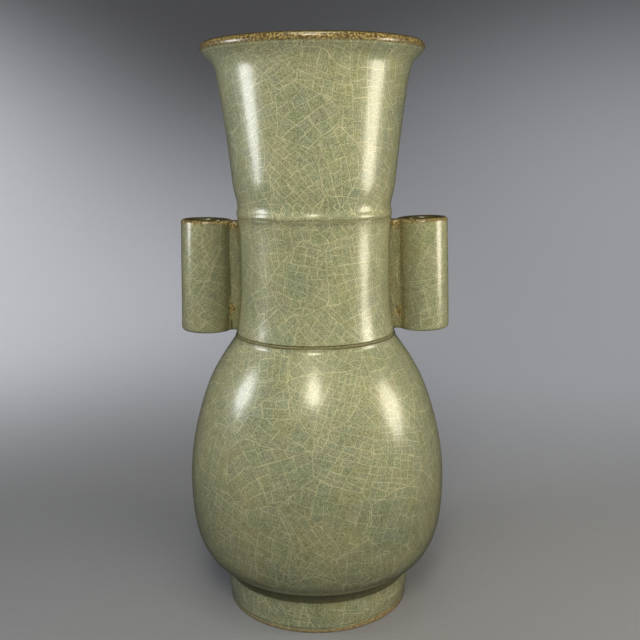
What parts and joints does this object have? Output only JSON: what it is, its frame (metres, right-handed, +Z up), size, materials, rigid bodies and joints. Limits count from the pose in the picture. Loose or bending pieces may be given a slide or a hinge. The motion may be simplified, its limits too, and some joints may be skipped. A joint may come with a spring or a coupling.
{
  "type": "arrow ear vase",
  "caption": "Tall glazed stoneware vase with an egg-shaped belly on a foot ring, a waisted neck between grooves, a flared mouth and upright tube ears beside the neck.",
  "frame": {"origin": "middle of the flat face that the foot ring stands on", "axes": "+Z up along the vase's own axis, +X towards the right ear, +Y towards the back, away from the pictured side"},
  "size_m": [0.1488, 0.1436, 0.31],
  "materials": {
    "crackled_glaze": "olive grey-green celadon glaze with a dense cream crackle, glossy, brown where it runs thin",
    "foot_clay": "celadon glaze above, worn off to bare brown stoneware at the standing edge",
    "fired_slip": "dark brown fired clay slip under thin glaze"
  },
  "bodies": {
    "root": {"foot_ring": "foot_clay", "foot_seam_slip": "fired_slip", "lower_body": "crackled_glaze", "belly_seam_slip": "fired_slip", "upper_body": "crackled_glaze", "neck_seam_slip": "fired_slip", "neck": "crackled_glaze", "mouth_seam_slip": "fired_slip", "mouth": "crackled_glaze", "left_ear": "crackled_glaze", "left_ear_strip": "crackled_glaze", "right_ear": "crackled_glaze", "right_ear_strip": "crackled_glaze"}
  },
  "joints": []
}
